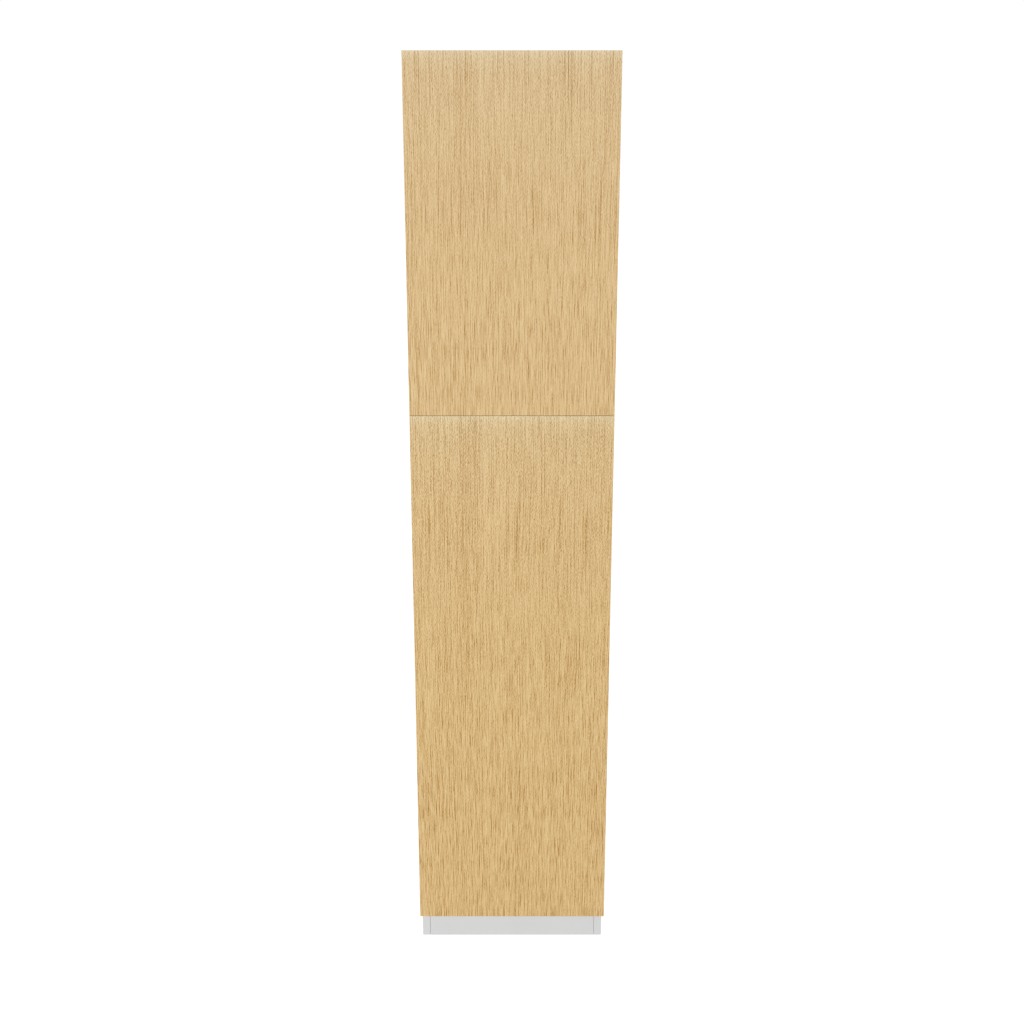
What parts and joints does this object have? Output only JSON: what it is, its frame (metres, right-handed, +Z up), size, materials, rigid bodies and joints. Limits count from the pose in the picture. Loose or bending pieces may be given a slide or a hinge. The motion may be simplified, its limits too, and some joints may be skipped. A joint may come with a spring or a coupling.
{
  "type": "pantry cabinet",
  "caption": "Tall narrow pantry cabinet with two slab doors, one above the other, on concealed hinges, shelves inside and a recessed toe kick.",
  "frame": {"origin": "on the floor, under the centre of the closed cabinet's box", "axes": "+Z up, +X to the right as seen from the front, -Y out of the front (the doors face -Y)"},
  "size_m": [0.4572, 0.6314, 2.1336],
  "materials": {
    "oak_veneer": "matt lacquered light oak veneer, fine vertical grain with dark pores",
    "white_board": "white melamine-faced board with a fine pearl texture, white edge band",
    "nickelled_steel": "nickel-plated pressed steel, satin",
    "latch_plastic": "moulded light grey plastic, matt"
  },
  "bodies": {
    "carcass": {"side_panel_left": "white_board", "side_panel_right": "white_board", "top_panel": "white_board", "bottom_panel": "white_board", "fixed_shelf": "white_board", "back_panel": "white_board", "hanging_rail_top": "white_board", "hanging_rail_bottom": "white_board", "toe_kick": "white_board", "lower_shelf_1": "white_board", "lower_shelf_1_pin_front_left": "nickelled_steel", "lower_shelf_1_pin_front_right": "nickelled_steel", "lower_shelf_1_pin_back_left": "nickelled_steel", "lower_shelf_1_pin_back_right": "nickelled_steel", "lower_shelf_2": "white_board", "lower_shelf_2_pin_front_left": "nickelled_steel", "lower_shelf_2_pin_front_right": "nickelled_steel", "lower_shelf_2_pin_back_left": "nickelled_steel", "lower_shelf_2_pin_back_right": "nickelled_steel", "lower_hinge_bottom_plate": "nickelled_steel", "lower_hinge_bottom_arm": "nickelled_steel", "lower_hinge_middle_plate": "nickelled_steel", "lower_hinge_middle_arm": "nickelled_steel", "lower_hinge_top_plate": "nickelled_steel", "lower_hinge_top_arm": "nickelled_steel", "lower_latch_housing": "latch_plastic", "upper_shelf_1": "white_board", "upper_shelf_1_pin_front_left": "nickelled_steel", "upper_shelf_1_pin_front_right": "nickelled_steel", "upper_shelf_1_pin_back_left": "nickelled_steel", "upper_shelf_1_pin_back_right": "nickelled_steel", "upper_shelf_2": "white_board", "upper_shelf_2_pin_front_left": "nickelled_steel", "upper_shelf_2_pin_front_right": "nickelled_steel", "upper_shelf_2_pin_back_left": "nickelled_steel", "upper_shelf_2_pin_back_right": "nickelled_steel", "upper_hinge_bottom_plate": "nickelled_steel", "upper_hinge_bottom_arm": "nickelled_steel", "upper_hinge_top_plate": "nickelled_steel", "upper_hinge_top_arm": "nickelled_steel", "upper_latch_housing": "latch_plastic"},
    "lower_leaf": {"lower_door": "oak_veneer", "lower_hinge_bottom_cup": "nickelled_steel", "lower_hinge_bottom_pin": "nickelled_steel", "lower_hinge_middle_cup": "nickelled_steel", "lower_hinge_middle_pin": "nickelled_steel", "lower_hinge_top_cup": "nickelled_steel", "lower_hinge_top_pin": "nickelled_steel", "lower_latch_strike": "nickelled_steel"},
    "lower_plunger": {"lower_latch_plunger": "latch_plastic"},
    "upper_leaf": {"upper_door": "oak_veneer", "upper_hinge_bottom_cup": "nickelled_steel", "upper_hinge_bottom_pin": "nickelled_steel", "upper_hinge_top_cup": "nickelled_steel", "upper_hinge_top_pin": "nickelled_steel", "upper_latch_strike": "nickelled_steel"},
    "upper_plunger": {"upper_latch_plunger": "latch_plastic"}
  },
  "joints": [
    {"name": "lower_door_swing", "type": "hinge", "parent": "carcass", "child": "lower_leaf", "pos_m": [-0.2195, -0.30838, 0.74355], "axis": [0, 0, -1], "range_deg": [0, 100]},
    {"name": "lower_latch_press", "type": "slide", "parent": "carcass", "child": "lower_plunger", "axis": [0, 1, 0], "range_m": [0, 0.003], "stiffness_N_per_m": 800},
    {"name": "upper_door_swing", "type": "hinge", "parent": "carcass", "child": "upper_leaf", "pos_m": [-0.2195, -0.30838, 1.752], "axis": [0, 0, -1], "range_deg": [0, 100]},
    {"name": "upper_latch_press", "type": "slide", "parent": "carcass", "child": "upper_plunger", "axis": [0, 1, 0], "range_m": [0, 0.003], "stiffness_N_per_m": 800}
  ]
}
